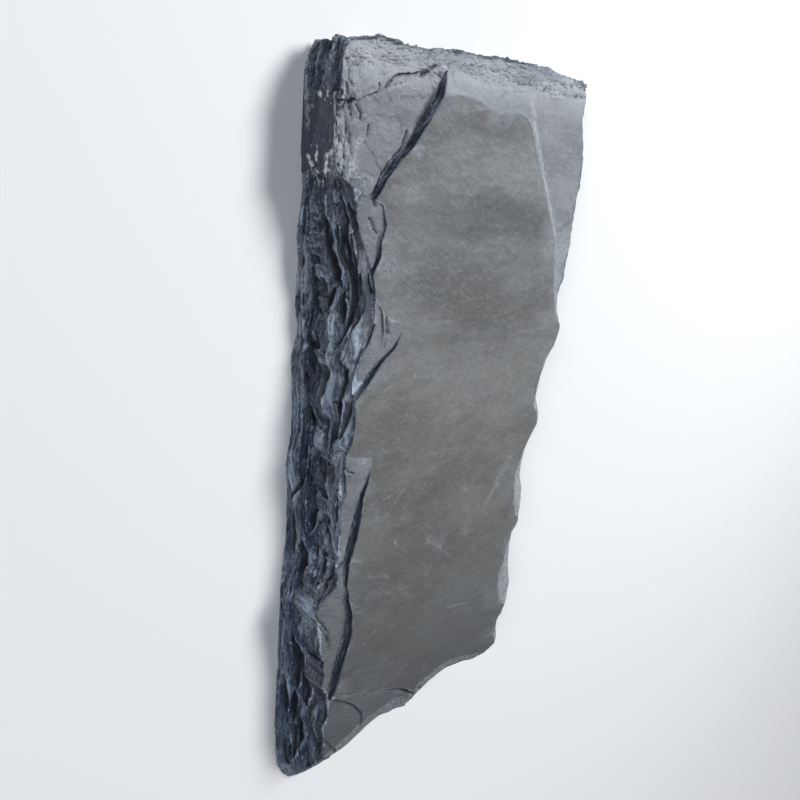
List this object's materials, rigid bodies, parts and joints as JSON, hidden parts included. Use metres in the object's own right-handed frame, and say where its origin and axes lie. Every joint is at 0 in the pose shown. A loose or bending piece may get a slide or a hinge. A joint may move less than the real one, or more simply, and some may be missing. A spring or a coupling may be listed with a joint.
{
  "type": "bluestone flagstone",
  "caption": "Irregular riven slab of blue-grey stone: flat split face, broken layered edges with ledges and flake scars, flat back that it lies on.",
  "frame": {"origin": "middle of the bounding box in plan, on the surface that the slab lies on", "axes": "+Y along the slab's length towards its squarer end, +Z out of its riven face, +X towards the edge with the large corner facet"},
  "size_m": [0.286, 0.612, 0.045],
  "materials": {
    "bluestone": "riven, dry and dull, fine-grained blue-grey"
  },
  "bodies": {
    "root": {"flagstone": "bluestone"}
  },
  "joints": []
}
